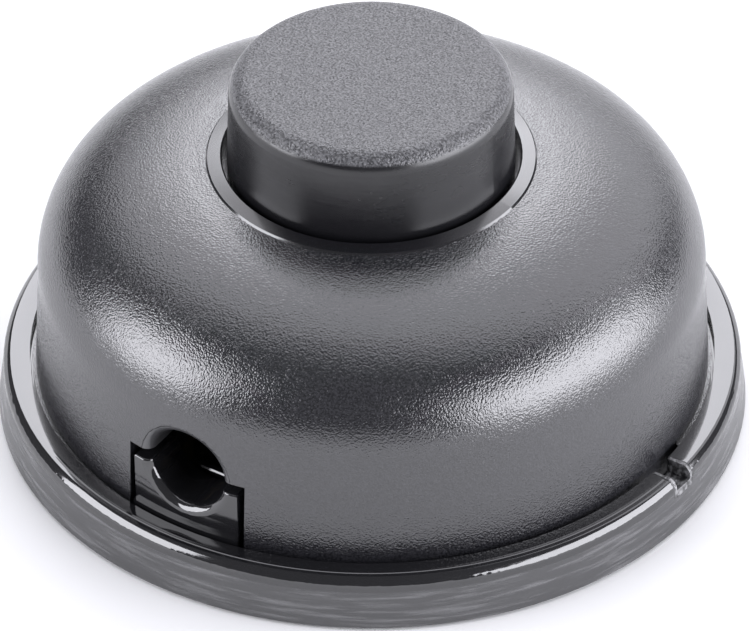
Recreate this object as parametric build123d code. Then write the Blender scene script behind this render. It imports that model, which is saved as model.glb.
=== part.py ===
from build123d import *
import math
import os

os.makedirs("parts", exist_ok=True)

# Sizes in mm. Heights count from the underside of the base plate, +Z up.
# The cord enters along Y, at the front (-Y) and at the rear (+Y).

# Base plate
base_radius = 33.0
wall_lean = 0.5                 # outer wall leans in by this much
wall_height = 3.6
rim_height = 4.7
rim_edge = 0.65                 # rounding between the wall and the flat ring
rim_flat_width = 1.7
seat_height = 3.2               # where the cover stands
floor_thickness = 2.0
recess_depth = 0.6              # hollow of the underside
recess_margin = 4.6             # solid band round the hollow
under_rib_width = 1.2
under_ring_radius = 12.0

# Dome cover
ring_gap = 0.55                 # between the cover and the flat ring
cover_lean = 0.5
shoulder_start = 13.6           # height where the wall turns into the shoulder
shoulder_rise = 11.6
shoulder_inward = 5.15          # how far inside the smooth ring the curve is centred
shoulder_power = 2.37           # 2 would be a plain ellipse
cover_wall = 2.2
inner_drop = 0.6                # inner shoulder starts lower than the outer one
inner_power = 2.15
flange_proud = 0.3
flange_height = 0.9
land_width = 1.4                # smooth ring round the button
land_step = 0.16
land_rise = 0.22
land_edge = 0.15
button_gap = 0.45

# Snap lip between cover and base
lip_clearance = 0.3
lip_wall = 1.3
lip_height = 4.4
bead_level = 0.62               # share of the lip's height
bead_proud = 0.45
bead_half = 0.6
groove_extra = 0.12
groove_flare = 0.35
lip_slots = 8
lip_slot_width = 1.2
lip_gate = 1.6                  # gap beside the tab

# Pry notch
pry_angle = -2.0                # degrees from +X
pry_width = 2.1
pry_depth = 1.4
pry_inset = 0.3
pry_foot_cut = 7.4              # width of the flat cut in the cover's foot
pry_foot_depth = 0.28
pry_foot_rise = 0.6

# Cord entry
bore_radius = 3.6
bore_height = 10.2
entry_length = 4.6              # from the cover's foot to the inner end of the bore
mouth_rounding = 0.85
tab_mouth_rounding = 0.8
entry_slot_width = 11.64
entry_slot_rise = 0.35          # top of the slot above the bore's axis
entry_slot_gap = 0.6            # side gap between the tab and the slot
tab_top_gap = 1.0
tab_top_edge = 0.18
tab_recess = 0.15
tab_step_height = 4.95
tab_step = 0.35
collar_wall = 1.7

# Cord clamp
clamp_depth = 3.4
cradle_depth = 3.8
cradle_space = 0.6              # between the tab and the cradle
channel_play = 0.6
channel_drop = 0.65
grip_rib = 0.8
grip_rib_width = 0.8
grip_rib_edge = 0.12
grip_half = 2.8
post_rise = 0.15
clamp_ear = 2.0
hump_squeeze = 0.4
hump_wall = 1.4

# Push button
button_radius = 12.4            # at the hole
button_taper = 0.22
button_stand = 8.3              # top of the button above the shoulder
button_edge = 1.75
button_wall = 2.0
button_flange_width = 1.45
button_flange_height = 2.2
button_flange_play = 0.9
button_crown = 2.2
travel = 4.0

# Plunger
stem_radius = 3.5
stem_fit = 0.02
boss_wall = 1.6
boss_length = 6.0
tube_wall = 1.55
tube_play = 0.35                # between the tube and the rotor's sleeve
tube_rest = 0.4                 # left over the rotor when fully pressed
tube_overlap = 5.3              # length of sleeve inside the tube at rest
tube_cap = 1.6
tube_headroom = 0.6
guide_clearance = 0.08
key_width = 1.6
key_proud = 0.7
key_clearance = 0.3
drive_pin_radius = 0.8
drive_pin_lift = 0.5

# Ratchet rotor
sleeve_radius = 4.5
rotor_flange_radius = 8.0
rotor_flange_height = 1.5
rotor_hub_radius = 3.0
rotor_play = 1.2
rotor_turn = 45.0
groove_depth = 1.2
groove_clearance = 0.32
groove_end = 0.4
pin_radius = 1.5
pin_clearance = 0.05
pin_drop = 0.6
pin_edge = 0.3

# Contacts
bridge_thickness = 0.5
bridge_ring = 1.4
bridge_fit = 0.03
arm_width = 2.6
strip_thickness = 0.5
strip_half = 2.0
strip_overlap = 2.1
strip_grip = 2.2
strip_play = 0.3
strip_fit = 0.02

# Switch body and lid
body_wall = 2.3
body_floor = 1.2
lid_thickness = 2.0
ear_radius = 2.8
ear_reach = 0.1
ear_bottom = 5.6
ear_angle = 45.0
lid_headroom = 0.8              # between the lid's screws and the pressed button

# Return spring
spring_play = 1.25
wire_radius = 0.45
spring_turns = 6

# Terminals
terminal_height = 8.0
terminal_width = 6.0
terminal_edge = 0.5
terminal_space = 1.3
through_length = 15.0
through_space = 3.0
through_screw = 4.5
wire_hole = 1.5
wire_hole_height = 4.4
cradle_wall = 1.0
cradle_height = 3.0
cradle_play = 0.1

# Screws
thread_fit = 0.02
hole_play = 0.15
terminal_screw_radius = 1.25
terminal_screw_length = 1.9
screw_head_radius = 2.2
screw_head_height = 1.4
screw_edge = 0.25
slot_width = 0.7
slot_depth = 0.7
tip_gap = 0.3
body_screw_radius = 1.25
body_screw_end = 1.5
clamp_screw_radius = 1.1
clamp_head_radius = 1.85
clamp_head_gap = 0.2
clamp_screw_end = 5.0

# Foot pads
pad_radius = 4.5
pad_margin = 2.9
pad_proud = 0.3
pad_edge = 0.2

# Derived sizes
beyond = 2 * base_radius        # longer than any piece
floor_top = recess_depth + floor_thickness
wall_top_radius = base_radius - wall_lean
rim_flat_outer = wall_top_radius - rim_edge
rim_inner = rim_flat_outer - rim_flat_width
recess_radius = base_radius - recess_margin
foot_radius = rim_inner - ring_gap
shoulder_radius = foot_radius - cover_lean
inner_foot = foot_radius - cover_wall
inner_shoulder = shoulder_radius - cover_wall
hole_radius = button_radius + button_gap
land_outer = hole_radius + land_width
shoulder_centre = land_outer - shoulder_inward
shoulder_reach = shoulder_radius - shoulder_centre
hole_level = shoulder_start + shoulder_rise
ceiling_height = hole_level - cover_wall
button_flange = hole_radius + button_flange_width
ceiling_flat = button_flange + button_flange_play
lip_outer = inner_foot - lip_clearance
bead_height = seat_height + lip_height * bead_level
entry_slot_top = bore_height + entry_slot_rise
entry_inner = foot_radius - entry_length
tab_front = foot_radius - tab_recess
tab_half = entry_slot_width / 2 - entry_slot_gap
tab_top = entry_slot_top - tab_top_gap
clamp_centre = entry_inner - cradle_space - cradle_depth / 2
channel_half = bore_radius + channel_play
channel_floor = bore_height - bore_radius - channel_drop
post_height = bore_height + post_rise
hump_inner = bore_radius - hump_squeeze
clamp_screw_reach = hump_inner + hump_wall + clamp_head_radius + clamp_head_gap
cradle_half = clamp_screw_reach + clamp_head_radius + 2 * clamp_head_gap
strip_bottom = floor_top + body_floor
strip_top = strip_bottom + strip_thickness
flange_bottom = strip_top + bridge_thickness
flange_top = flange_bottom + rotor_flange_height
button_top = hole_level + button_stand
inside_top = button_top - button_crown
flange_underside = ceiling_height - button_flange_height
tube_bottom = flange_top + travel + tube_rest
sleeve_top = tube_bottom + tube_overlap
tube_ceiling = sleeve_top + travel + tube_headroom
tube_inner = sleeve_radius + tube_play
tube_outer = tube_inner + tube_wall
drive_pin_height = tube_bottom + drive_pin_radius + drive_pin_lift
groove_floor_radius = sleeve_radius - groove_depth
drive_pin_tip = groove_floor_radius + groove_end
pin_top = sleeve_top - pin_drop
bridge_reach = rotor_flange_radius
strip_inner = bridge_reach - strip_overlap
body_radius = rotor_flange_radius + rotor_play + body_wall
body_top = flange_underside - travel - lid_headroom - screw_head_height - lid_thickness
lid_top = body_top + lid_thickness
ear_distance = body_radius + ear_radius + ear_reach
spring_radius = tube_outer + wire_radius + spring_play
terminal_top = floor_top + terminal_height
wire_level = floor_top + wire_hole_height
live_near = body_radius + terminal_space
live_far = clamp_centre - cradle_depth / 2 - cradle_wall - 2 * cradle_play
live_length = live_far - live_near
live_centre = (live_far + live_near) / 2
strip_outer = live_near + strip_grip
through_centre = body_radius + through_space + terminal_width / 2
pad_distance = recess_radius - pad_radius - pad_margin


def disc(radius, bottom, top, x=0, y=0):
    base = (Align.CENTER, Align.CENTER, Align.MIN)
    return Pos(x, y, bottom) * Cylinder(radius, top - bottom, align=base)


def tube(outer, inner, bottom, top, x=0, y=0):
    return disc(outer, bottom, top, x, y) - disc(inner, bottom - 1, top + 1, x, y)


def block(x0, x1, y0, y1, z0, z1):
    middle = Pos((x0 + x1) / 2, (y0 + y1) / 2, (z0 + z1) / 2)
    return middle * Box(x1 - x0, y1 - y0, z1 - z0)


def turned(*edges):
    """Solid of revolution about Z from edges drawn in the XZ plane."""
    return revolve(Plane.XZ * make_face(Curve() + list(edges)), Axis.Z)


def turned_polygon(*points):
    return turned(Polyline(*points, close=True))


def bar_along_y(radius, y0, y1, height):
    """Round bar from y0 back towards y1, with its axis at the given height."""
    base = (Align.CENTER, Align.CENTER, Align.MIN)
    rod = Cylinder(radius, abs(y1 - y0), align=base)
    return Pos(0, min(y0, y1), height) * (Rot(-90, 0, 0) * rod)


def rear(shape):
    """The same shape turned to the rear side."""
    return Rot(0, 0, 180) * shape


def save(shape, name):
    """Export one piece, raised so that the foot pads stand at zero."""
    export_step(Pos(0, 0, pad_proud) * shape, f"parts/{name}.step")


def entry_bore():
    """Round way of the cord at the front, from outside to inside the bore's end."""
    return bar_along_y(bore_radius, -beyond, -entry_inner + cradle_space / 2, bore_height)


def on_mouth(edge):
    """Whether an edge is part of the bore's rim on the outside."""
    middle = edge @ 0.5
    across = math.hypot(middle.X, middle.Z - bore_height)
    outside = -middle.Y > foot_radius - cover_wall / 2
    return outside and abs(across - bore_radius) < 0.01 * bore_radius


def rounded_mouth(shape, rounding):
    """The same shape with the outer rim of its front bore rounded."""
    return fillet([edge for edge in shape.edges() if on_mouth(edge)], rounding)


def shoulder_points(steps):
    """Points of the outer shoulder from the wall to the smooth ring."""
    last = math.acos((shoulder_inward / shoulder_reach) ** (shoulder_power / 2))
    points = []
    for step in range(steps + 1):
        turn = last * step / steps
        across = math.cos(turn) ** (2 / shoulder_power)
        up = math.sin(turn) ** (2 / shoulder_power)
        points.append((shoulder_centre + shoulder_reach * across, shoulder_start + shoulder_rise * up))
    return points


def inner_shoulder_points(steps):
    """Points of the inner shoulder from the flat ceiling to the wall."""
    start = shoulder_start - inner_drop
    reach = inner_shoulder - ceiling_flat
    points = []
    for step in range(steps + 1):
        turn = math.pi / 2 * (1 - step / steps)
        across = math.cos(turn) ** (2 / inner_power) if step else 0.0
        up = math.sin(turn) ** (2 / inner_power) if step < steps else 0.0
        points.append((ceiling_flat + reach * across, start + (ceiling_height - start) * up))
    return points


def dome_shell():
    outside = shoulder_points(14)
    inside = inner_shoulder_points(12)
    top = outside[-1][1]
    land_height = top + land_step
    flange_top_height = seat_height + flange_height
    return turned(
        Polyline(
            inside[-1],
            (inner_foot, seat_height),
            (foot_radius + flange_proud, seat_height),
            (foot_radius + flange_proud, flange_top_height),
            (foot_radius, flange_top_height),
            outside[0],
        ),
        Spline(*outside, tangents=[(-cover_lean, shoulder_start - flange_top_height), (-1, 0.13)]),
        Polyline(
            outside[-1],
            (land_outer - land_edge, land_height),
            (hole_radius + land_edge, land_height + land_rise),
            (hole_radius, land_height + land_rise - land_edge),
            (hole_radius, ceiling_height),
            inside[0],
        ),
        Spline(*inside, tangents=[(1, 0), (0, -1)]),
    )


def snap_groove():
    wall = inner_foot - groove_extra
    half = bead_half + groove_flare
    return turned_polygon(
        (wall - 1, bead_height - half),
        (wall, bead_height - half),
        (wall + bead_proud + groove_extra, bead_height),
        (wall, bead_height + half),
        (wall - 1, bead_height + half),
    )


def collar():
    """Half round wall round the cord bore inside the cover."""
    outer_end = foot_radius - cover_wall / 2
    ring = bar_along_y(bore_radius + collar_wall, -entry_inner, -outer_end, bore_height)
    return ring & block(-beyond, beyond, -beyond, 0, entry_slot_top, beyond)


def entry_slot():
    half = entry_slot_width / 2
    end = -entry_inner + cradle_space / 2
    return block(-half, half, -beyond, end, seat_height - 1, entry_slot_top)


def with_entry(shell):
    """The cover's shell with the front cord entry made in it."""
    shell = rounded_mouth(shell + collar() - entry_bore(), mouth_rounding)
    return shell - entry_slot()


def foot_cut(angle):
    """Flat cut in the cover's foot beside a pry notch."""
    flat = foot_radius - pry_foot_depth
    half = pry_foot_cut / 2
    cut = block(flat, beyond, -half, half, seat_height - 1, seat_height + flange_height + pry_foot_rise)
    return Rot(0, 0, angle) * cut


def dome_cover():
    shell = dome_shell() - snap_groove()
    shell = rear(with_entry(rear(with_entry(shell))))
    return shell - foot_cut(pry_angle) - foot_cut(pry_angle + 180)


def base_disc():
    bulge = rim_edge / 4
    edge_mid_r = (wall_top_radius + rim_flat_outer) / 2 + bulge
    edge_mid_z = (wall_height + rim_height) / 2 + bulge
    return turned(
        Polyline(
            (rim_flat_outer, rim_height),
            (rim_inner, rim_height),
            (rim_inner, seat_height),
            (inner_foot, seat_height),
            (inner_foot, floor_top),
            (0, floor_top),
            (0, recess_depth),
            (recess_radius, recess_depth),
            (recess_radius, 0),
            (base_radius, 0),
            (wall_top_radius, wall_height),
        ),
        ThreePointArc(
            (wall_top_radius, wall_height), (edge_mid_r, edge_mid_z), (rim_flat_outer, rim_height)
        ),
    )


def snap_lip():
    """Slotted ring inside the cover, with a bead that snaps into its groove."""
    top = seat_height + lip_height
    lip = turned_polygon(
        (lip_outer - lip_wall, floor_top),
        (lip_outer, floor_top),
        (lip_outer, bead_height - bead_half),
        (lip_outer + bead_proud, bead_height),
        (lip_outer, bead_height + bead_half),
        (lip_outer, top),
        (lip_outer - lip_wall, top),
    )
    for number in range(lip_slots):
        angle = 360 / lip_slots * (number + 0.5)
        half = lip_slot_width / 2
        slot = block(lip_outer - 2 * lip_wall, lip_outer + lip_wall, -half, half, floor_top + 1, top + 1)
        lip -= Rot(0, 0, angle) * slot
    gate = entry_slot_width / 2 + lip_gate
    return lip - block(-gate, gate, -beyond, beyond, floor_top - 1, top + 1)


def entry_tab():
    """Tab of the base that closes the cover's slot and carries the cord."""
    half = tab_half
    high = block(-half, half, -beyond, -entry_inner, floor_top, tab_top) & disc(tab_front, 0, beyond)
    low = block(-half, half, -beyond, -entry_inner, floor_top, tab_step_height)
    tab = high + (low & disc(tab_front + tab_step, 0, beyond))
    tab = rounded_mouth(tab - entry_bore(), tab_mouth_rounding)
    mouth_reach = bore_radius + tab_mouth_rounding
    outer = [edge for edge in tab.edges().group_by(Axis.Z)[-1] if abs((edge @ 0.5).X) > mouth_reach]
    return fillet(outer, tab_top_edge)


def clamp_cradle():
    """Posts and ribbed channel under the cord clamp."""
    back = -clamp_centre + cradle_depth / 2
    front = -clamp_centre - cradle_depth / 2
    body = block(-cradle_half, cradle_half, front, back, floor_top, post_height)
    body -= block(-channel_half, channel_half, front - 1, back + 1, channel_floor, post_height + 1)
    rib_top = channel_floor + grip_rib
    for y in (front, back - grip_rib_width):
        rib = block(-grip_half, grip_half, y, y + grip_rib_width, channel_floor - 1, rib_top)
        body += chamfer(rib.edges().group_by(Axis.Z)[-1].filter_by(Axis.X), grip_rib_edge)
    for x in (-clamp_screw_reach, clamp_screw_reach):
        hole = clamp_screw_radius + thread_fit
        body -= disc(hole, clamp_screw_end - tip_gap, post_height + 1, x, -clamp_centre)
    return body


def cradle(x, y, width, length):
    """Low wall round a terminal that stands on the floor."""
    half_x = width / 2 + cradle_play
    half_y = length / 2 + cradle_play
    outer_x = half_x + cradle_wall
    outer_y = half_y + cradle_wall
    top = floor_top + cradle_height
    wall = block(x - outer_x, x + outer_x, y - outer_y, y + outer_y, recess_depth + 1, top)
    return wall - block(x - half_x, x + half_x, y - half_y, y + half_y, floor_top, top + 1)


def strip_passage():
    half = strip_half + strip_play
    top = strip_top + strip_play
    return block(-half, half, -strip_outer, -body_radius + body_wall, strip_bottom, top)


def screw_boss():
    """Boss under the ear of the switch body, on the diagonal."""
    boss = disc(ear_radius, recess_depth + 1, ear_bottom, ear_distance, 0)
    return Rot(0, 0, ear_angle) * (boss - disc(body_radius + hole_play, 0, beyond))


def pry_notch(angle):
    """Notch for a screwdriver, with a floor that rises to the wall's upper edge."""
    floor = rim_height - pry_depth
    inner = rim_inner - pry_inset
    outside = wall_top_radius + 1
    cut = Plane.XZ * make_face(Polyline(
        (inner, floor),
        (rim_flat_outer - pry_inset, floor),
        (wall_top_radius, wall_height),
        (outside, wall_height),
        (outside, rim_height + 1),
        (inner, rim_height + 1),
        close=True,
    ))
    return Rot(0, 0, angle) * extrude(cut, pry_width / 2, both=True)


def under_ribs():
    """Cross ribs and a round rib in the hollow of the underside."""
    half = under_rib_width / 2
    low = pad_edge / 2
    high = recess_depth + low
    reach = recess_radius + low
    ribs = tube(under_ring_radius, under_ring_radius - under_rib_width, low, high)
    for angle in (0, 90):
        ribs += Rot(0, 0, angle) * block(-reach, reach, -half, half, low, high)
    return ribs


def base_plate():
    base = base_disc() + snap_lip() + under_ribs()
    for side in (0, 180):
        turn = Rot(0, 0, side)
        base += turn * entry_tab()
        base += turn * clamp_cradle()
        base += turn * cradle(0, -live_centre, terminal_width, live_length)
        base += turn * cradle(through_centre, 0, terminal_width, through_length)
        base += turn * screw_boss()
        base -= turn * strip_passage()
        base -= pry_notch(pry_angle + side)
        hole = disc(body_screw_radius + thread_fit, body_screw_end - tip_gap, beyond, ear_distance, 0)
        base -= turn * (Rot(0, 0, ear_angle) * hole)
    return base


def push_button():
    radius_top = button_radius - button_taper
    radius_low = button_radius
    edge = button_edge
    diagonal = math.sqrt(0.5)
    skin = turned(
        Polyline(
            (0, button_top),
            (0, flange_underside),
            (button_flange, flange_underside),
            (button_flange, ceiling_height),
            (radius_low, ceiling_height),
            (radius_low, hole_level),
            (radius_top, button_top - edge),
        ),
        ThreePointArc(
            (radius_top, button_top - edge),
            (radius_top - edge * (1 - diagonal), button_top - edge * (1 - diagonal)),
            (radius_top - edge, button_top),
        ),
        Line((radius_top - edge, button_top), (0, button_top)),
    )
    cavity = disc(button_radius - button_wall, flange_underside - 1, inside_top)
    hole = stem_radius + stem_fit
    return skin - cavity + tube(hole + boss_wall, hole, inside_top - boss_length, inside_top)


def drive_plunger():
    """Tube with inward drive pins, guided by two keys, and its stem."""
    cap_top = tube_ceiling + tube_cap
    body = disc(tube_outer, tube_bottom, cap_top) - disc(tube_inner, tube_bottom - 1, tube_ceiling)
    for side in (0, 180):
        half = key_width / 2
        reach = tube_outer + key_proud
        key = block(tube_outer - tube_wall / 2, reach, -half, half, tube_bottom, cap_top)
        pin = Rot(0, 90, 0) * Cylinder(
            drive_pin_radius, tube_inner + tube_wall / 2 - drive_pin_tip,
            align=(Align.CENTER, Align.CENTER, Align.MIN),
        )
        pin = Pos(drive_pin_tip, 0, drive_pin_height) * pin
        body += Rot(0, 0, side) * (key + pin)
    return body + disc(stem_radius, tube_ceiling + tube_cap / 2, inside_top)


def return_spring():
    """Coil with both ends ground flat, between the lid and the inside of the button."""
    height = inside_top - lid_top
    path = Helix(height / spring_turns, height, spring_radius)
    wire = sweep(Plane(path @ 0, z_dir=path % 0) * Circle(wire_radius), path, is_frenet=True)
    return (Pos(0, 0, lid_top) * wire) & disc(2 * spring_radius, lid_top, inside_top)


def drive_groove():
    """Slanting groove that a drive pin follows, open upwards."""
    lead = travel * 360 / rotor_turn
    half = drive_pin_radius + groove_clearance
    low = drive_pin_height - travel
    steps = 16
    groove = None
    for step in range(steps + 1):
        share = step / steps
        height = low + travel * share
        angle = 360 * (height - drive_pin_height) / lead
        deep = sleeve_radius + 1 - groove_floor_radius
        slot = Rot(0, 90, 0) * Cylinder(half, deep, align=(Align.CENTER, Align.CENTER, Align.MIN))
        slot = Rot(0, 0, angle) * (Pos(groove_floor_radius, 0, height) * slot)
        groove = slot if groove is None else groove + slot
    entry = block(groove_floor_radius, sleeve_radius + 1, -half, half, drive_pin_height, sleeve_top + 1)
    return groove + entry


def ratchet_rotor():
    rotor = disc(rotor_hub_radius, strip_bottom, flange_top)
    rotor += disc(rotor_flange_radius, flange_bottom, flange_top)
    rotor += disc(sleeve_radius, flange_bottom, sleeve_top)
    rotor -= disc(pin_radius + pin_clearance, strip_bottom - 1, sleeve_top + 1)
    groove = drive_groove()
    return rotor - groove - rear(groove)


def rotor_pin():
    pin = disc(pin_radius, floor_top, pin_top)
    return chamfer(pin.edges().sort_by(Axis.Z)[-1], pin_edge)


def contact_bridge():
    """Four armed contact that turns with the rotor, at rest on the diagonals."""
    low = strip_top
    high = strip_top + bridge_thickness
    bridge = disc(rotor_hub_radius + bridge_ring, low, high)
    for number in range(2):
        arm = block(-bridge_reach, bridge_reach, -arm_width / 2, arm_width / 2, low, high)
        bridge += Rot(0, 0, rotor_turn + 90 * number) * (arm & disc(bridge_reach, low, high))
    return bridge - disc(rotor_hub_radius + bridge_fit, low - 1, high + 1)


def contact_strip():
    return block(-strip_half, strip_half, -strip_outer, -strip_inner, strip_bottom, strip_top)


def body_ear(bottom, top):
    ear = disc(ear_radius, bottom, top, ear_distance, 0)
    ear += block(body_radius - body_wall / 2, ear_distance, -ear_radius, ear_radius, bottom, top)
    return Rot(0, 0, ear_angle) * ear


def switch_body():
    inner = body_radius - body_wall
    body = disc(body_radius, floor_top, body_top)
    for side in (0, 180):
        body += Rot(0, 0, side) * body_ear(ear_bottom, body_top)
    body -= disc(inner, strip_bottom, body_top + 1)
    body -= disc(pin_radius + thread_fit, floor_top - 1, strip_bottom + 1)
    for side in (0, 180):
        half = strip_half + strip_play
        slot = block(-half, half, -body_radius - 1, -inner + 1, strip_bottom, strip_top + strip_play)
        hole = disc(body_screw_radius + hole_play, 0, beyond, ear_distance, 0)
        body -= Rot(0, 0, side) * slot
        body -= Rot(0, 0, side + ear_angle) * hole
    return body


def switch_lid():
    lid = disc(body_radius, body_top, lid_top)
    for side in (0, 180):
        lid += Rot(0, 0, side) * body_ear(body_top, lid_top)
    lid -= disc(tube_outer + guide_clearance, body_top - 1, lid_top + 1)
    for side in (0, 180):
        half = key_width / 2 + key_clearance
        reach = tube_outer + key_proud + key_clearance
        key = block(0, reach, -half, half, body_top - 1, lid_top + 1)
        hole = disc(body_screw_radius + hole_play, 0, beyond, ear_distance, 0)
        lid -= Rot(0, 0, side) * key
        lid -= Rot(0, 0, side + ear_angle) * hole
    return lid


def screw(shank, head, seat, end, x, y, turn=0):
    """Slotted screw with its head on the seat height and its tip at the end height."""
    top = seat + screw_head_height
    body = disc(shank, end, top) + disc(head, seat, top)
    edge = body.edges().group_by(Axis.Z)[-1]
    body = chamfer(edge, screw_edge)
    half = slot_width / 2
    body -= block(-head - 1, head + 1, -half, half, top - slot_depth, top + 1)
    return Pos(x, y, 0) * (Rot(0, 0, turn) * body)


def live_terminal():
    """Brass block that takes one wire and the contact strip."""
    half = terminal_width / 2
    body = block(-half, half, -live_far, -live_near, floor_top, terminal_top)
    body = chamfer(body.edges().filter_by(Axis.Z), terminal_edge)
    body -= bar_along_y(wire_hole, -live_far - 1, -live_near + 1, wire_level)
    body -= disc(terminal_screw_radius + thread_fit, wire_level, terminal_top + 1, 0, -live_centre)
    slot_half = strip_half + cradle_play
    slot_end = -strip_outer - cradle_play
    low = strip_bottom - strip_fit
    high = strip_top + strip_fit
    return body - block(-slot_half, slot_half, slot_end, -live_near + 1, low, high)


def through_terminal():
    """Long brass block that joins two wires."""
    half = terminal_width / 2
    reach = through_length / 2
    body = block(-half, half, -reach, reach, floor_top, terminal_top)
    body = chamfer(body.edges().filter_by(Axis.Z), terminal_edge)
    body -= bar_along_y(wire_hole, -reach - 1, reach + 1, wire_level)
    for y in (-through_screw, through_screw):
        body -= disc(terminal_screw_radius + thread_fit, wire_level, terminal_top + 1, 0, y)
    return Pos(through_centre, 0, 0) * body


def terminal_screw(x, y, turn):
    end = terminal_top - terminal_screw_length
    return screw(terminal_screw_radius, screw_head_radius, terminal_top, end, x, y, turn)


def cord_clamp():
    """Saddle that holds the cord down on the ribbed channel."""
    front = -clamp_centre - clamp_depth / 2
    back = -clamp_centre + clamp_depth / 2
    top = post_height + clamp_ear
    bar = block(-cradle_half, cradle_half, front, back, post_height, top)
    hump = bar_along_y(hump_inner + hump_wall, front, back, post_height)
    bar += hump & block(-beyond, beyond, front - 1, back + 1, post_height, beyond)
    bar -= bar_along_y(hump_inner, front - 1, back + 1, post_height)
    for x in (-clamp_screw_reach, clamp_screw_reach):
        bar -= disc(clamp_screw_radius + hole_play, post_height - 1, top + 1, x, -clamp_centre)
    return bar


def clamp_screw(side, turn):
    seat = post_height + clamp_ear
    return screw(
        clamp_screw_radius, clamp_head_radius, seat, clamp_screw_end,
        side * clamp_screw_reach, -clamp_centre, turn,
    )


def body_screw(turn):
    piece = screw(body_screw_radius, screw_head_radius, lid_top, body_screw_end, ear_distance, 0, turn)
    return Rot(0, 0, ear_angle) * piece


def foot_pad(angle):
    pad = disc(pad_radius, -pad_proud, recess_depth, pad_distance, 0)
    pad = chamfer(pad.edges().sort_by(Axis.Z)[0], pad_edge)
    return Rot(0, 0, angle) * pad


def build_housing():
    save(base_plate(), "base_plate")
    save(dome_cover(), "dome_cover")
    for number in range(4):
        save(foot_pad(45 + 90 * number), f"foot_pad_{number + 1}")


def build_mechanism():
    save(push_button(), "push_button")
    save(drive_plunger(), "drive_plunger")
    save(return_spring(), "return_spring")
    save(ratchet_rotor(), "ratchet_rotor")
    save(rotor_pin(), "rotor_pin")
    save(contact_bridge(), "contact_bridge")
    save(switch_body(), "switch_body")
    save(switch_lid(), "switch_lid")
    save(body_screw(20), "body_screw_left")
    save(rear(body_screw(65)), "body_screw_right")


def build_wiring():
    save(contact_strip(), "contact_strip_front")
    save(rear(contact_strip()), "contact_strip_rear")
    save(live_terminal(), "live_terminal_front")
    save(rear(live_terminal()), "live_terminal_rear")
    save(through_terminal(), "neutral_terminal")
    save(rear(through_terminal()), "earth_terminal")
    save(terminal_screw(0, -live_centre, 15), "live_screw_front")
    save(terminal_screw(0, live_centre, 70), "live_screw_rear")
    save(terminal_screw(through_centre, -through_screw, 40), "neutral_screw_front")
    save(terminal_screw(through_centre, through_screw, 110), "neutral_screw_rear")
    save(terminal_screw(-through_centre, -through_screw, 85), "earth_screw_front")
    save(terminal_screw(-through_centre, through_screw, 150), "earth_screw_rear")


def build_clamps():
    save(cord_clamp(), "cord_clamp_front")
    save(rear(cord_clamp()), "cord_clamp_rear")
    save(clamp_screw(-1, 30), "clamp_screw_front_left")
    save(clamp_screw(1, 75), "clamp_screw_front_right")
    save(rear(clamp_screw(1, 120)), "clamp_screw_rear_left")
    save(rear(clamp_screw(-1, 10)), "clamp_screw_rear_right")


build_housing()
build_mechanism()
build_wiring()
build_clamps()
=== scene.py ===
import bpy
import math
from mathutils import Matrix, Quaternion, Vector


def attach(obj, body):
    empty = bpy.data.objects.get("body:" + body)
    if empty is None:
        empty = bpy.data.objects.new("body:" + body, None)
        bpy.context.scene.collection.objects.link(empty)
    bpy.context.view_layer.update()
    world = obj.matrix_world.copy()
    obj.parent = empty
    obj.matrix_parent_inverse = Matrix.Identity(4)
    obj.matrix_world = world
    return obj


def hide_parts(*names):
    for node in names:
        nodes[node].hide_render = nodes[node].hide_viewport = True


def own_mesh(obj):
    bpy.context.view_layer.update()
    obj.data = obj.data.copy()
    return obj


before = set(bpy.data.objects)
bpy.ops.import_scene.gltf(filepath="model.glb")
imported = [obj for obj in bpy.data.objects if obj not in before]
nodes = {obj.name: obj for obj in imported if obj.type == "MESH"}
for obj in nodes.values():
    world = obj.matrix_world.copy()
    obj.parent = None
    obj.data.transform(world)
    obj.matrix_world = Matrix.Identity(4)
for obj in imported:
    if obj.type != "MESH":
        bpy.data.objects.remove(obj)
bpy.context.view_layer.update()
mm = 0.001
print("frame loaded:", len(nodes), "nodes")


# camera at the photograph's angle, places in millimetres
camera = {
    "place": (216.04, -332.68, 316.77), "aim": (1.375, -1.651, 9.56), "roll": -0.254,
    "lens": 274.95, "sensor": 36.0, "near": 10, "far": 50000,
}


def addCamera():
    data = bpy.data.cameras.new("photoCamera")
    data.lens = camera["lens"]
    data.sensor_width = camera["sensor"]
    data.clip_start = camera["near"] * mm
    data.clip_end = camera["far"] * mm
    obj = bpy.data.objects.new("photoCamera", data)
    bpy.context.scene.collection.objects.link(obj)
    place = Vector(camera["place"]) * mm
    aim = Vector(camera["aim"]) * mm
    turn = (aim - place).to_track_quat("-Z", "Y")
    roll = Quaternion((0, 0, 1), math.radians(camera["roll"]))
    obj.location = place
    obj.rotation_mode = "QUATERNION"
    obj.rotation_quaternion = turn @ roll
    bpy.context.scene.camera = obj


# soft lamps: bearing, rise and spread each way in degrees, distance in metres
lamps = {
    "leftBox": {"shape": "RECTANGLE", "bearing": -133, "rise": 22, "spread": (40, 36),
                "distance": 0.6, "glow": 6.2},
    "rightBox": {"shape": "RECTANGLE", "bearing": 10, "rise": 17, "spread": (68, 36),
                 "distance": 0.6, "glow": 6.4},
    "backDish": {"shape": "DISK", "bearing": 108, "rise": 52, "spread": (92, 92),
                 "distance": 0.7, "glow": 1.55},
    "backCore": {"shape": "DISK", "bearing": 121.5, "rise": 38, "spread": (34, 34),
                 "distance": 0.65, "glow": 3.1},
}
roomGlow = 0.15
coolWhite = (0.98, 0.98, 1.04)   # the slightly cool light of the photograph


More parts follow.
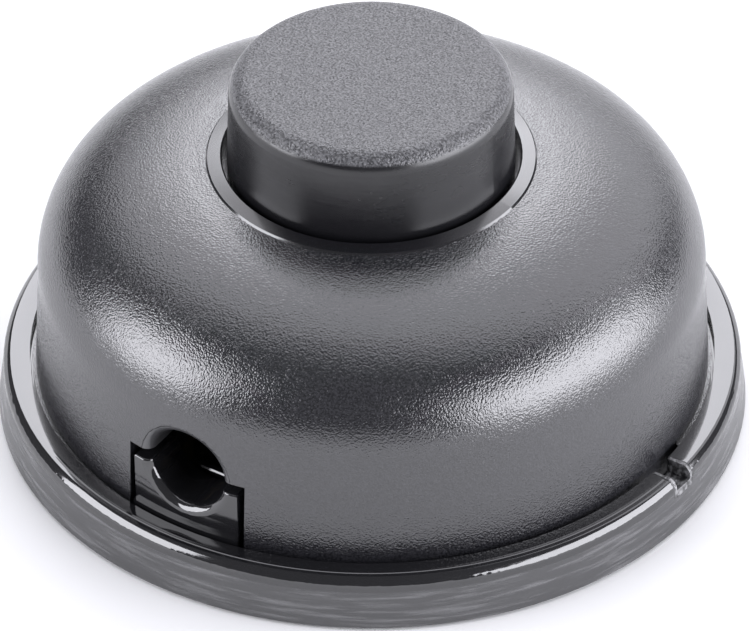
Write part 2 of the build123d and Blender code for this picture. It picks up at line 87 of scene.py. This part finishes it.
def addLamp(name, lamp):
    width, height = [2 * lamp["distance"] * math.tan(math.radians(angle) / 2) for angle in lamp["spread"]]
    area = width * height
    data = bpy.data.lights.new(name, "AREA")
    data.shape = lamp["shape"]
    data.size = width
    if lamp["shape"] == "RECTANGLE":
        data.size_y = height
    else:
        area *= math.pi / 4
    data.color = coolWhite
    data.energy = lamp["glow"] * area * math.pi
    bearing, rise = math.radians(lamp["bearing"]), math.radians(lamp["rise"])
    level = math.cos(rise)
    outward = Vector((math.cos(bearing) * level, math.sin(bearing) * level, math.sin(rise)))
    obj = bpy.data.objects.new(name, data)
    obj.location = outward * lamp["distance"]
    obj.rotation_mode = "QUATERNION"
    obj.rotation_quaternion = (-outward).to_track_quat("-Z", "Y")
    obj.visible_camera = False
    bpy.context.scene.collection.objects.link(obj)


def lightRoom():
    world = bpy.data.worlds.new("studio")
    world.use_nodes = True
    background = world.node_tree.nodes["Background"]
    background.inputs["Color"].default_value = (*coolWhite, 1)
    background.inputs["Strength"].default_value = roomGlow
    bpy.context.scene.world = world
    for name, lamp in lamps.items():
        addLamp(name, lamp)


addCamera()
lightRoom()
print("camera and lamps placed")


# short helpers for building node trees
def feed(tree, socket, value):
    if isinstance(value, bpy.types.NodeSocket):
        tree.links.new(value, socket)
    else:
        socket.default_value = value


def addNode(tree, kind, settings=None, **inputs):
    node = tree.nodes.new("ShaderNode" + kind)
    for key, value in (settings or {}).items():
        setattr(node, key, value)
    for key, value in inputs.items():
        feed(tree, node.inputs[key], value)
    return node


def calc(tree, operation, *values):
    node = addNode(tree, "Math", {"operation": operation})
    for socket, value in zip(node.inputs, values):
        feed(tree, socket, value)
    return node.outputs[0]


def reach(tree, first, second):
    square = calc(tree, "MULTIPLY_ADD", first, first, calc(tree, "MULTIPLY", second, second))
    return calc(tree, "SQRT", square)


def wander(tree, unevenness, middle, width):
    # an edge that strays about its place, both in millimetres
    return calc(tree, "MULTIPLY_ADD", unevenness, width * mm, (middle - width / 2) * mm)


def ramp(tree, value, low, high, start=0.0, end=1.0):
    node = addNode(tree, "MapRange", {"interpolation_type": "SMOOTHSTEP"}, Value=value)
    for label, number in (("From Min", low), ("From Max", high), ("To Min", start), ("To Max", end)):
        feed(tree, node.inputs[label], number)
    return node.outputs["Result"]


def blendValue(tree, factor, first, second):
    node = addNode(tree, "Mix")
    for index, value in ((0, factor), (2, first), (3, second)):
        feed(tree, node.inputs[index], value)
    return node.outputs[0]


def blendColour(tree, factor, first, second):
    node = addNode(tree, "Mix", {"data_type": "RGBA"})
    for index, value in ((0, factor), (6, first), (7, second)):
        feed(tree, node.inputs[index], value)
    return node.outputs[2]


def stretch(tree, vector, scale):
    return addNode(tree, "Mapping", Vector=vector, Scale=scale).outputs[0]


def scaled(tree, vector, scale):
    return addNode(tree, "VectorMath", {"operation": "SCALE"}, Vector=vector, Scale=scale).outputs[0]


def noise(tree, vector, scale, detail=2.0, roughness=0.5):
    node = addNode(tree, "TexNoise", Vector=vector, Scale=scale, Detail=detail, Roughness=roughness)
    return node.outputs[0]


def cells(tree, vector, scale, smoothness):
    settings = {"feature": "SMOOTH_F1"}
    node = addNode(tree, "TexVoronoi", settings, Vector=vector, Scale=scale, Smoothness=smoothness)
    return node.outputs["Distance"]


def bump(tree, height, depth, below=None):
    node = addNode(tree, "Bump", Height=height, Distance=depth * mm)
    if below is not None:
        feed(tree, node.inputs["Normal"], below)
    return node.outputs[0]


# node groups that several materials share
def makeGroup(name, inputs, outputs):
    group = bpy.data.node_groups.new(name, "ShaderNodeTree")
    for label, kind, value in inputs:
        socket = group.interface.new_socket(label, in_out="INPUT", socket_type="NodeSocket" + kind)
        if value is not None:
            socket.default_value = value
    for label in outputs:
        group.interface.new_socket(label, in_out="OUTPUT", socket_type="NodeSocketFloat")
    given = group.nodes.new("NodeGroupInput").outputs
    return group, given, group.nodes.new("NodeGroupOutput").inputs


mouthHeight = 10.2   # centre of the smooth cord mouths, in millimetres


def makeRoundPlace():
    # distance from the button's axis, height, distance along the cord line and from the bores' axis
    group, given, out = makeGroup(
        "roundPlace",
        [("Place", "Vector", None), ("Bore Height", "Float", mouthHeight * mm)],
        ["Radius", "Height", "Along Cord", "From Bore"])
    x, y, z = addNode(group, "SeparateXYZ", Vector=given["Place"]).outputs
    rise = calc(group, "SUBTRACT", z, given["Bore Height"])
    feed(group, out["Radius"], reach(group, x, y))
    feed(group, out["Height"], z)
    feed(group, out["Along Cord"], calc(group, "ABSOLUTE", y))
    feed(group, out["From Bore"], reach(group, x, rise))
    return group


mould = {
    "cells": 4200.0, "fineness": 0.4, "cellScale": 0.7, "cellSoftness": 0.8, "cellShare": 0.5,
    "fineScale": 2.0, "fineShare": 0.5, "middle": 0.48, "fleckRange": (0.3, 0.7),
}


def makeMouldGrain():
    # spark-eroded mould texture: small uneven cells with finer noise in them, and a fleck mask where the
    # cover and button paint their sheen
    group, given, out = makeGroup(
        "mouldGrain",
        [("Place", "Vector", None), ("Cells", "Float", mould["cells"]),
         ("Fineness", "Float", mould["fineness"])],
        ["Height", "Sheen Fleck"])
    place = given["Place"]
    cellScale = calc(group, "MULTIPLY", given["Cells"], mould["cellScale"])
    fineScale = calc(group, "MULTIPLY", given["Cells"], mould["fineScale"])
    wavy = noise(group, place, given["Cells"], detail=0.0)
    cell = cells(group, place, cellScale, mould["cellSoftness"])
    fine = noise(group, place, fineScale, detail=0.0)
    coarse = blendValue(group, mould["cellShare"], wavy, cell)
    mixed = blendValue(group, calc(group, "MULTIPLY", given["Fineness"], mould["fineShare"]), coarse, fine)
    level = calc(group, "SUBTRACT", mixed, mould["middle"])   # about zero, so no step shows where it ends
    feed(group, out["Height"], level)
    feed(group, out["Sheen Fleck"], ramp(group, wavy, *mould["fleckRange"]))
    return group


wear = {
    "smudgeScale": 70.0, "smudgeRange": (0.42, 0.68),
    "speckScale": 900.0, "speckRange": (0.14, 0.05), "dustScale": 160.0, "dustRange": (0.56, 0.66),
    "scratchStretch": (260.0, 3600.0, 900.0), "scratchRange": (0.7, 0.78),
}


def makeHandling():
    # what use leaves on plastic: faint smudges, a little dust, fine scratches
    group, given, out = makeGroup(
        "handling",
        [("Place", "Vector", None), ("Size", "Float", 1.0)],
        ["Smudge", "Dust", "Scratch"])
    place = scaled(group, given["Place"], given["Size"])
    smudge = noise(group, place, wear["smudgeScale"], detail=3.0, roughness=0.6)
    feed(group, out["Smudge"], ramp(group, smudge, *wear["smudgeRange"]))
    specks = ramp(group, cells(group, place, wear["speckScale"], 0.0), *wear["speckRange"])
    drifts = ramp(group, noise(group, place, wear["dustScale"]), *wear["dustRange"])
    feed(group, out["Dust"], calc(group, "MULTIPLY", specks, drifts))
    lines = noise(group, stretch(group, place, wear["scratchStretch"]), 1.0, roughness=0.7)
    feed(group, out["Scratch"], ramp(group, lines, *wear["scratchRange"]))
    return group


streakRange = (0.45, 0.72)


def makeRoundStreaks():
    # long faint streaks that run round the object, as a turned mould leaves them
    group, given, out = makeGroup(
        "roundStreaks",
        [("Place", "Vector", None), ("Around", "Float", 6.0), ("Upward", "Float", 3000.0)],
        ["Height", "Mask"])
    x, y, z = addNode(group, "SeparateXYZ", Vector=given["Place"]).outputs
    level = addNode(group, "CombineXYZ", X=x, Y=y).outputs[0]
    flat = addNode(group, "VectorMath", {"operation": "NORMALIZE"}, Vector=level).outputs[0]
    turned = scaled(group, flat, given["Around"])
    lifted = addNode(group, "CombineXYZ", Z=calc(group, "MULTIPLY", z, given["Upward"])).outputs[0]
    both = addNode(group, "VectorMath", {"operation": "ADD"})
    feed(group, both.inputs[0], turned)
    feed(group, both.inputs[1], lifted)
    line = noise(group, both.outputs[0], 1.0, detail=3.0, roughness=0.6)
    feed(group, out["Height"], line)
    feed(group, out["Mask"], ramp(group, line, *streakRange))
    return group


roundPlace = makeRoundPlace()
mouldGrain = makeMouldGrain()
handling = makeHandling()
roundStreaks = makeRoundStreaks()
print("shared texture groups built")


def useGroup(tree, group, **inputs):
    node = tree.nodes.new("ShaderNodeGroup")
    node.node_tree = group
    for key, value in inputs.items():
        feed(tree, node.inputs[key], value)
    return node.outputs


def newFinish(name, ior=1.5, level=0.5, metallic=0.0):
    material = bpy.data.materials.new(name)
    material.use_nodes = True
    tree = material.node_tree
    shader = tree.nodes["Principled BSDF"].inputs
    shader["IOR"].default_value = ior
    shader["Specular IOR Level"].default_value = level
    shader["Metallic"].default_value = metallic
    place = addNode(tree, "TexCoord").outputs["Object"]
    return material, tree, shader, place


greyDust = (0.12, 0.12, 0.12, 1)


def addColour(tree, shader, colour, dust, amount, dustColour=greyDust):
    dusty = blendColour(tree, calc(tree, "MULTIPLY", dust, amount), colour, dustColour)
    feed(tree, shader["Base Color"], dusty)


def dress(material, *names):
    for name in names:
        for each in nodes[name].material_slots:
            each.material = material


# the grained cover with its smooth land and cord mouths, its grain flecked lighter as painted sheen, places
# and depths in millimetres
cover = {
    "ior": 1.58, "specular": 1.0,
    "dark": (0.007, 0.007, 0.0085, 1), "light": (0.010, 0.010, 0.0120, 1), "patchScale": 55.0,
    # the fleck colour is painted sheen: lighter flecks on the grain that stand in for its glints
    "sheenFleck": (0.028, 0.028, 0.032, 1), "dust": 0.25,
    "grainCells": 7000.0, "grainDepth": 0.06, "grainRoughness": 0.15,
    "smudgeShine": -0.035, "fleckDull": 0.05, "smudgeDull": 0.05,
    "edgeScale": 2600.0, "landRadius": 14.25, "landStray": 0.25, "landRoughness": 0.12,
    "mouth": (0.045, 0.045, 0.048, 1), "mouthRadius": 4.5, "mouthStray": 0.2, "mouthBlur": 0.06,
    "mouthBeyond": 20.0, "mouthRoughness": 0.30, "mouthSink": -2.2,
}


def makeCoverFinish():
    material, tree, shader, place = newFinish("grainedCover", cover["ior"], cover["specular"])
    where = useGroup(tree, roundPlace, Place=place)
    use = useGroup(tree, handling, Place=place)
    grain = useGroup(tree, mouldGrain, Place=place, Cells=cover["grainCells"])
    ragged = noise(tree, place, cover["edgeScale"])
    landEdge = wander(tree, ragged, cover["landRadius"], cover["landStray"])
    onLand = calc(tree, "LESS_THAN", where["Radius"], landEdge)
    mouthEdge = wander(tree, ragged, cover["mouthRadius"], cover["mouthStray"])
    mouthLimit = calc(tree, "ADD", mouthEdge, cover["mouthBlur"] * mm)
    farOut = calc(tree, "GREATER_THAN", where["Along Cord"], cover["mouthBeyond"] * mm)
    inMouth = calc(tree, "MULTIPLY", ramp(tree, where["From Bore"], mouthLimit, mouthEdge), farOut)
    smooth = calc(tree, "MAXIMUM", onLand, inMouth)
    grainy = calc(tree, "SUBTRACT", 1.0, smooth)
    patches = noise(tree, place, cover["patchScale"], detail=3.0)
    colour = blendColour(tree, patches, cover["dark"], cover["light"])
    # lighter flecks on the grain: painted sheen standing in for the grain's glints
    colour = blendColour(tree, calc(tree, "MULTIPLY", grain["Sheen Fleck"], grainy), colour, cover["sheenFleck"])
    colour = blendColour(tree, inMouth, colour, cover["mouth"])
    addColour(tree, shader, colour, use["Dust"], cover["dust"])
    grained = calc(tree, "MULTIPLY_ADD", use["Smudge"], cover["smudgeShine"], cover["grainRoughness"])
    grained = calc(tree, "MULTIPLY_ADD", grain["Sheen Fleck"], cover["fleckDull"], grained)
    polished = calc(tree, "MULTIPLY_ADD", use["Smudge"], cover["smudgeDull"], cover["landRoughness"])
    polished = blendValue(tree, inMouth, polished, cover["mouthRoughness"])
    feed(tree, shader["Roughness"], blendValue(tree, smooth, grained, polished))
    sink = calc(tree, "MULTIPLY", inMouth, cover["mouthSink"])   # the mouth's edge is a small sharp step
    height = calc(tree, "MULTIPLY_ADD", grain["Height"], grainy, sink)
    feed(tree, shader["Normal"], bump(tree, height, cover["grainDepth"]))
    return material


dress(makeCoverFinish(), "dome_cover")
print("cover finished")


# the base: polished ring and tabs, satin outer wall with painted sheen, gate marks at the notches that also
# paint light into the shaded notch floors, in millimetres
base = {
    "ior": 1.58, "specular": 1.0,
    "dark": (0.008, 0.008, 0.0092, 1), "light": (0.012, 0.012, 0.0135, 1), "patchScale": 60.0,
    "dust": 0.3, "gloss": 0.07, "smudgeDull": 0.05,
    # the satin wall is coloured lighter than the ring and its streaks lighter still: painted sheen on the
    # real flow streaks
    "wall": (0.026, 0.026, 0.028, 1), "streakSheen": (0.11, 0.11, 0.114, 1), "satin": 0.30,
    "streakShine": -0.08, "satinBelow": 3.9, "satinBeyond": 32.2, "satinBlur": 0.25,
    "around": 5.0, "upward": 2600.0, "streakRise": 0.2,
    # the mark's light grey is the trimmed gate, and where it reaches into the notch floor it is painted
    # light over the recess's shade
    "markAndPaintedLight": (0.22, 0.22, 0.225, 1), "markBearing": -2.0, "markFrom": 30.1, "markTo": 32.7,
    "markAbove": 3.25, "markHalf": 1.5, "markBlur": (0.25, 0.2), "markStray": 0.7, "markScale": 1500.0,
    "markRoughness": 0.42, "markDepth": 0.25, "tornRange": (0.4, 0.6),
    "crownRadius": 31.0, "crownLimits": (-1.0, 2.0), "crownDepth": 0.06,
    "lineRadius": 31.35, "lineHalf": 0.2, "lineRise": 0.8, "lineBearing": -58.6, "lineFrom": (15.5, 19.0),
    "swellScale": 130.0, "swellDepth": 0.06, "rippleScale": 900.0, "rippleDepth": 0.06,
}


def makeGateMarkAndPaintedLight(tree, place, where, rough):
    # the gate mark at each notch, stretched inward over the notch floor, where its grey is painted light in
    # the shade
    turned = addNode(tree, "Mapping", Vector=place, Rotation=(0, 0, -math.radians(base["markBearing"])))
    x, y, z = addNode(tree, "SeparateXYZ", Vector=turned.outputs[0]).outputs
    edge = wander(tree, rough, 0.0, base["markStray"])
    outward = calc(tree, "ADD", calc(tree, "ABSOLUTE", x), edge)
    sideways = calc(tree, "ADD", calc(tree, "ABSOLUTE", y), edge)
    longBlur, wideBlur = base["markBlur"]
    along = ramp(tree, outward, base["markFrom"] * mm, (base["markFrom"] + longBlur) * mm)
    across = ramp(tree, sideways, base["markHalf"] * mm, (base["markHalf"] - wideBlur) * mm)
    markAndPaintedLight = calc(tree, "MULTIPLY", along, across)
    markAndPaintedLight = calc(tree, "MULTIPLY", markAndPaintedLight, calc(tree, "GREATER_THAN", z, base["markAbove"] * mm))
    return calc(tree, "MULTIPLY", markAndPaintedLight, calc(tree, "LESS_THAN", where["Radius"], base["markTo"] * mm))


def makeRingCrown(tree, place, where):
    # the ring's top is not quite flat, and has a fine raised line at the front
    low, high = base["crownLimits"]
    fromCrown = calc(tree, "MULTIPLY_ADD", where["Radius"], 1 / mm, -base["crownRadius"])
    beside = addNode(tree, "Clamp", Value=fromCrown, Min=low, Max=high).outputs[0]
    crown = calc(tree, "MULTIPLY", calc(tree, "MULTIPLY", beside, beside), -1.0)
    fromLine = calc(tree, "MULTIPLY_ADD", where["Radius"], 1 / mm, -base["lineRadius"])
    x, y = addNode(tree, "SeparateXYZ", Vector=place).outputs[:2]
    bearing = math.radians(base["lineBearing"])
    forward = calc(tree, "MULTIPLY_ADD", x, math.cos(bearing), calc(tree, "MULTIPLY", y, math.sin(bearing)))
    start, full = base["lineFrom"]
    front = ramp(tree, forward, start * mm, full * mm)
    line = ramp(tree, calc(tree, "ABSOLUTE", fromLine), base["lineHalf"], 0.0, 0.0, base["lineRise"])
    return calc(tree, "MULTIPLY_ADD", line, front, crown)


def makeBaseFinish():
    material, tree, shader, place = newFinish("polishedBase", base["ior"], base["specular"])
    where = useGroup(tree, roundPlace, Place=place)
    use = useGroup(tree, handling, Place=place)
    streakSheen = useGroup(tree, roundStreaks, Place=place, Around=base["around"], Upward=base["upward"])
    beyond, below, blur = base["satinBeyond"], base["satinBelow"], base["satinBlur"]
    outside = ramp(tree, where["Radius"], beyond * mm, (beyond + blur) * mm)
    wall = calc(tree, "MULTIPLY", outside, ramp(tree, where["Height"], below * mm, (below - blur) * mm))
    rough = noise(tree, place, base["markScale"], detail=3.0, roughness=0.6)
    markAndPaintedLight = makeGateMarkAndPaintedLight(tree, place, where, rough)
    patches = noise(tree, place, base["patchScale"], detail=3.0)
    colour = blendColour(tree, patches, base["dark"], base["light"])
    # lighter satin wall and streaks: painted sheen
    colour = blendColour(tree, wall, colour, blendColour(tree, streakSheen["Mask"], base["wall"], base["streakSheen"]))
    # torn grey of the gate mark, which in the notch floor is painted light over shade
    tornAndPaintedLight = blendColour(tree, ramp(tree, rough, *base["tornRange"]), base["dark"], base["markAndPaintedLight"])
    addColour(tree, shader, blendColour(tree, markAndPaintedLight, colour, tornAndPaintedLight), use["Dust"], base["dust"])
    gloss = calc(tree, "MULTIPLY_ADD", use["Smudge"], base["smudgeDull"], base["gloss"])
    satin = calc(tree, "MULTIPLY_ADD", streakSheen["Mask"], base["streakShine"], base["satin"])
    roughness = blendValue(tree, wall, gloss, satin)
    feed(tree, shader["Roughness"], blendValue(tree, markAndPaintedLight, roughness, base["markRoughness"]))
    crowned = bump(tree, makeRingCrown(tree, place, where), base["crownDepth"])
    swell = noise(tree, place, base["swellScale"])   # the slight sink and waves of a polished moulding
    waved = bump(tree, swell, base["swellDepth"], crowned)
    rim = calc(tree, "SUBTRACT", outside, wall)
    uneven = calc(tree, "MULTIPLY", noise(tree, place, base["rippleScale"]), rim)   # on the outer edge
    onWall = calc(tree, "MULTIPLY", wall, base["streakRise"])
    ripple = calc(tree, "MULTIPLY_ADD", streakSheen["Height"], onWall, uneven)
    rippled = bump(tree, ripple, base["rippleDepth"], waved)
    height = calc(tree, "MULTIPLY", rough, markAndPaintedLight)
    feed(tree, shader["Normal"], bump(tree, height, base["markDepth"], rippled))
    return material


dress(makeBaseFinish(), "base_plate")
print("base finished")


# the button: fine grain on top and over the edge, coloured lighter there as painted sheen, satin side, in
# millimetres
button = {
    "ior": 1.55, "specular": 0.6,
    "dark": (0.006, 0.006, 0.0072, 1), "light": (0.009, 0.009, 0.0105, 1), "patchScale": 90.0,
    # the grain's pit and fleck colours, far lighter than the side, are painted sheen on the grained top
    "sheenPit": (0.030, 0.030, 0.033, 1), "sheenFleck": (0.11, 0.11, 0.117, 1), "dust": 0.2,
    "grainCells": 5000.0, "fineness": 0.7, "grainDepth": 0.165, "topRoughness": 0.27,
    "grainAbove": 32.9, "edgeScale": 5000.0, "edgeStray": 0.3, "edgeBlur": 0.12,
    "sideRoughness": 0.24, "streakShine": -0.05, "smudgeDull": 0.08,
    "around": 4.0, "upward": 1500.0, "streakDepth": 0.006,
}


def makeButtonFinish():
    material, tree, shader, place = newFinish("buttonPlastic", button["ior"], button["specular"])
    where = useGroup(tree, roundPlace, Place=place)
    use = useGroup(tree, handling, Place=place)
    grain = useGroup(tree, mouldGrain, Place=place, Cells=button["grainCells"], Fineness=button["fineness"])
    streakSheen = useGroup(tree, roundStreaks, Place=place, Around=button["around"], Upward=button["upward"])
    limit = wander(tree, noise(tree, place, button["edgeScale"]), button["grainAbove"], button["edgeStray"])
    above = calc(tree, "SUBTRACT", where["Height"], limit)
    top = ramp(tree, above, -button["edgeBlur"] * mm, button["edgeBlur"] * mm)
    patches = noise(tree, place, button["patchScale"], detail=3.0)
    colour = blendColour(tree, patches, button["dark"], button["light"])
    # the grained top is coloured lighter than the side: painted sheen of the top
    grained = blendColour(tree, grain["Sheen Fleck"], button["sheenPit"], button["sheenFleck"])
    addColour(tree, shader, blendColour(tree, top, colour, grained), use["Dust"], button["dust"])
    side = calc(tree, "MULTIPLY_ADD", streakSheen["Mask"], button["streakShine"], button["sideRoughness"])
    side = calc(tree, "MULTIPLY_ADD", use["Smudge"], button["smudgeDull"], side)
    feed(tree, shader["Roughness"], blendValue(tree, top, side, button["topRoughness"]))
    faint = bump(tree, streakSheen["Height"], button["streakDepth"])
    height = calc(tree, "MULTIPLY", grain["Height"], top)
    feed(tree, shader["Normal"], bump(tree, height, button["grainDepth"], faint))
    return material


dress(makeButtonFinish(), "push_button")
print("button finished")


# mouldings inside and underneath, depths in millimetres
mouldings = {
    "naturalPlastic": {
        "dark": (0.60, 0.57, 0.50, 1), "light": (0.72, 0.70, 0.63, 1), "roughness": 0.42,
        "grainCells": 2600.0, "grainDepth": 0.008, "pieces": ["switch_body", "switch_lid"]},
    "greyPlastic": {
        "dark": (0.27, 0.28, 0.30, 1), "light": (0.34, 0.35, 0.37, 1), "roughness": 0.30,
        "grainCells": 2600.0, "grainDepth": 0.005, "pieces": ["drive_plunger", "ratchet_rotor"]},
    "clampPlastic": {
        "dark": (0.040, 0.040, 0.042, 1), "light": (0.055, 0.055, 0.057, 1), "roughness": 0.38,
        "grainCells": 3200.0, "grainDepth": 0.012, "pieces": ["cord_clamp_front", "cord_clamp_rear"]},
    "padRubber": {
        "dark": (0.035, 0.035, 0.037, 1), "light": (0.055, 0.055, 0.057, 1), "roughness": 0.80,
        "grainCells": 1600.0, "grainDepth": 0.04,
        "pieces": [name for name in nodes if name.startswith("foot_pad_")]},
}
mouldingWear = {
    "size": 2.0, "patchScale": 140.0, "dust": 0.3, "dustColour": (0.3, 0.29, 0.27, 1), "smudgeDull": 0.1,
}

# metal pieces: how their drawn or turned lines are stretched along X, Y and Z
metals = {
    "contactBrass": {
        "dark": (0.60, 0.43, 0.18, 1), "light": (0.82, 0.64, 0.32, 1), "roughness": 0.28,
        "lines": (300.0, 300.0, 5000.0),
        "pieces": ["contact_bridge", "contact_strip_front", "contact_strip_rear"]},
    "terminalBrass": {
        "dark": (0.56, 0.40, 0.17, 1), "light": (0.78, 0.60, 0.30, 1), "roughness": 0.24,
        "lines": (4200.0, 500.0, 500.0),
        "pieces": [name for name in nodes if "_terminal" in name]},
    "screwSteel": {
        "dark": (0.46, 0.46, 0.48, 1), "light": (0.68, 0.68, 0.70, 1), "roughness": 0.26,
        "lines": (900.0, 900.0, 7000.0),
        "pieces": [name for name in nodes if "_screw_" in name]},
    "springSteel": {
        "dark": (0.38, 0.38, 0.40, 1), "light": (0.60, 0.60, 0.62, 1), "roughness": 0.30,
        "lines": (1200.0, 1200.0, 6000.0),
        "pieces": ["return_spring", "rotor_pin"]},
}
metalWear = {"size": 3.0, "dullScale": 320.0, "dull": 0.14, "scratchShine": -0.08, "lineDepth": 0.008}


def makeMoulded(name, look):
    material, tree, shader, place = newFinish(name)
    use = useGroup(tree, handling, Place=place, Size=mouldingWear["size"])
    grain = useGroup(tree, mouldGrain, Place=place, Cells=look["grainCells"])
    patches = noise(tree, place, mouldingWear["patchScale"], detail=4.0)
    colour = blendColour(tree, patches, look["dark"], look["light"])
    addColour(tree, shader, colour, use["Dust"], mouldingWear["dust"], mouldingWear["dustColour"])
    roughness = calc(tree, "MULTIPLY_ADD", use["Smudge"], mouldingWear["smudgeDull"], look["roughness"])
    feed(tree, shader["Roughness"], roughness)
    feed(tree, shader["Normal"], bump(tree, grain["Height"], look["grainDepth"]))
    return material


def makeMetal(name, look):
    material, tree, shader, place = newFinish(name, metallic=1.0)
    use = useGroup(tree, handling, Place=place, Size=metalWear["size"])
    drawn = noise(tree, stretch(tree, place, look["lines"]), 1.0, detail=3.0, roughness=0.6)
    dull = noise(tree, place, metalWear["dullScale"], detail=4.0, roughness=0.6)
    feed(tree, shader["Base Color"], blendColour(tree, dull, look["dark"], look["light"]))
    rough = calc(tree, "MULTIPLY_ADD", dull, metalWear["dull"], look["roughness"])
    rough = calc(tree, "MULTIPLY_ADD", use["Scratch"], metalWear["scratchShine"], rough)
    feed(tree, shader["Roughness"], rough)
    feed(tree, shader["Normal"], bump(tree, drawn, metalWear["lineDepth"]))
    return material


for name, look in mouldings.items():
    dress(makeMoulded(name, look), *look["pieces"])
for name, look in metals.items():
    dress(makeMetal(name, look), *look["pieces"])
print("inner pieces finished")


# the return spring as one smoothed coil piece on the housing, in millimetres
coil = {
    "name": "returnCoil", "node": "return_spring", "body": "housing", "slot": "spring_steel",
    "joint": "button_press", "travel": 4.0, "merge": 0.001, "sharp": 40,
}


def addCoil():
    mesh = nodes[coil["node"]].data.copy()   # with the node's finish
    piece = bpy.data.objects.new(coil["name"], mesh)
    bpy.context.scene.collection.objects.link(piece)
    bpy.ops.object.select_all(action="DESELECT")
    piece.select_set(True)
    bpy.context.view_layer.objects.active = piece
    bpy.ops.object.mode_set(mode="EDIT")
    bpy.ops.mesh.select_all(action="SELECT")
    bpy.ops.mesh.remove_doubles(threshold=coil["merge"] * mm)   # the node's mesh is loose triangles
    bpy.ops.object.mode_set(mode="OBJECT")
    bpy.ops.object.shade_smooth_by_angle(angle=math.radians(coil["sharp"]))
    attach(piece, coil["body"])
    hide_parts(coil["node"])
    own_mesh(piece)


addCoil()
print("spring coil added")


# a plain pale floor that keeps the object's soft shadow, half its side in metres
floor = {
    "half": 5.0, "colour": (0.85, 0.85, 0.85, 1), "other": (0.87, 0.87, 0.87, 1), "patchScale": 8.0,
    "ior": 1.4, "specular": 0.2, "roughness": 0.9,
}


def addFloor():
    bpy.ops.object.select_all(action="DESELECT")
    bpy.ops.mesh.primitive_plane_add(size=2 * floor["half"], location=(0, 0, 0))
    sheet = bpy.context.object
    sheet.name = "studioFloor"
    material, tree, shader, place = newFinish("floorPaper", floor["ior"], floor["specular"])
    shader["Roughness"].default_value = floor["roughness"]
    patches = noise(tree, place, floor["patchScale"])
    feed(tree, shader["Base Color"], blendColour(tree, patches, floor["colour"], floor["other"]))
    sheet.data.materials.append(material)


addFloor()
bpy.context.scene.view_settings.view_transform = "Standard"
